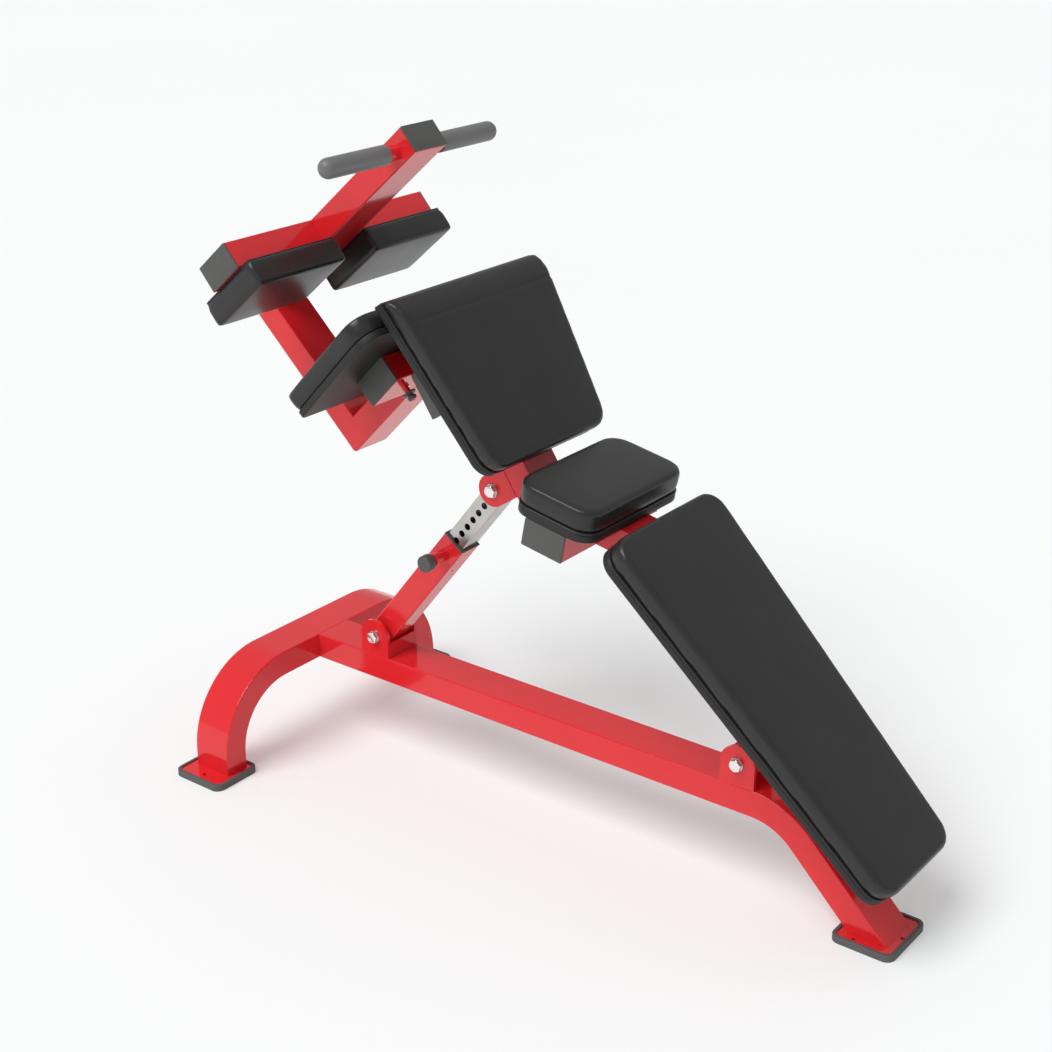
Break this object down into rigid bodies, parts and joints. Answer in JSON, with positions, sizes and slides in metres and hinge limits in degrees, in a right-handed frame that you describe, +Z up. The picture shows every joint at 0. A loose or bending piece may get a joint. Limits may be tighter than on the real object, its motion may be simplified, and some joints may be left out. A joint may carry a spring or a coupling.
{
  "type": "adjustable decline bench",
  "caption": "Adjustable decline abdominal bench: stepped pads on a tilting beam, leg-hold pads with hand grips, pinned telescopic strut, arched foot frame.",
  "frame": {"origin": "centre of the footprint on the floor, below the middle of the overall box", "axes": "+X from the rear arch to the front foot, +Y across the bench, +Z up"},
  "size_m": [1.7092, 0.832, 1.4657],
  "materials": {
    "red_powder_coat": "glossy powder coat over welded steel tube",
    "foot_rubber": "moulded matt rubber",
    "zinc_steel": "bright zinc-plated steel",
    "grey_plastic": "injection-moulded, fine satin",
    "grip_rubber": "smooth extruded rubber",
    "black_vinyl": "satin synthetic leather over foam",
    "black_board": "board wrapped in the pad's cover"
  },
  "bodies": {
    "base": {"rear_arch": "red_powder_coat", "spine": "red_powder_coat", "front_foot_plate": "red_powder_coat", "rear_foot_plate_left": "red_powder_coat", "rear_foot_plate_right": "red_powder_coat", "front_foot_pad": "foot_rubber", "rear_foot_pad_left": "foot_rubber", "rear_foot_pad_right": "foot_rubber", "rear_clevis_ears": "red_powder_coat", "front_clevis_ears": "red_powder_coat", "rear_clevis_web": "red_powder_coat", "lower_pivot_bolts": "zinc_steel", "lower_pivot_nuts": "zinc_steel", "lower_pivot_washers": "zinc_steel"},
    "bench": {"main_beam": "red_powder_coat", "beam_end_cap": "grey_plastic", "tilt_lug_plates": "red_powder_coat", "tilt_bush": "zinc_steel", "strut_tabs": "red_powder_coat", "upper_pivot_bolt": "zinc_steel", "upper_pivot_nut": "zinc_steel", "upper_pivot_washers": "zinc_steel", "upper_pivot_spacers": "zinc_steel", "seat_cross_tubes": "red_powder_coat", "thigh_cross_tubes": "red_powder_coat", "calf_cross_tubes": "red_powder_coat", "foot_cross_tubes": "red_powder_coat", "cross_tube_caps": "grey_plastic", "lower_arm": "red_powder_coat", "post": "red_powder_coat", "handle_arm": "red_powder_coat", "handle_arm_cap": "grey_plastic", "handle_bar": "red_powder_coat", "handle_grip_left": "grip_rubber", "handle_grip_right": "grip_rubber", "peg_barrels": "red_powder_coat", "peg_knobs": "grey_plastic", "back_pad_board": "black_board", "back_pad_cushion": "black_vinyl", "seat_pad_board": "black_board", "seat_pad_cushion": "black_vinyl", "thigh_pad_board": "black_board", "thigh_pad_cushion": "black_vinyl", "calf_pad_board": "black_board", "calf_pad_cushion": "black_vinyl", "shin_pad_cushion_left": "black_vinyl", "shin_pad_cushion_right": "black_vinyl", "shin_pad_boards": "black_board", "pad_screws": "zinc_steel"},
    "strut_lower": {"strut_outer_tube": "red_powder_coat", "strut_bosses": "red_powder_coat", "strut_mouth_liner": "grey_plastic", "strut_set_screw": "zinc_steel", "pin_barrel": "red_powder_coat", "pin_lock_nut": "red_powder_coat", "pin_spring": "zinc_steel"},
    "strut_upper": {"strut_inner_tube": "zinc_steel"},
    "pin": {"pull_pin": "zinc_steel", "pull_knob": "grey_plastic"}
  },
  "joints": [
    {"name": "bench_tilt", "type": "hinge", "parent": "base", "child": "bench", "pos_m": [0.46657, 0, 0.299], "axis": [0, -1, 0], "range_deg": [0, 9.76]},
    {"name": "strut_swing", "type": "hinge", "parent": "base", "child": "strut_lower", "pos_m": [-0.49583, 0, 0.2962], "axis": [0, 1, 0], "range_deg": [0, 1.96]},
    {"name": "strut_slide", "type": "slide", "parent": "strut_lower", "child": "strut_upper", "axis": [-0.6183, 0, -0.7859], "range_m": [0, 0.128]},
    {"name": "pin_pull", "type": "slide", "parent": "strut_lower", "child": "pin", "axis": [0, -1, 0], "range_m": [0, 0.012], "stiffness_N_per_m": 600, "springref_m": -0.012, "deforming": ["pin_spring"]}
  ],
  "couplings": [
    {"joint": "strut_swing", "follows": "bench_tilt", "ratio": 0.2},
    {"joint": "strut_slide", "follows": "bench_tilt", "m_per_rad": 0.75}
  ]
}
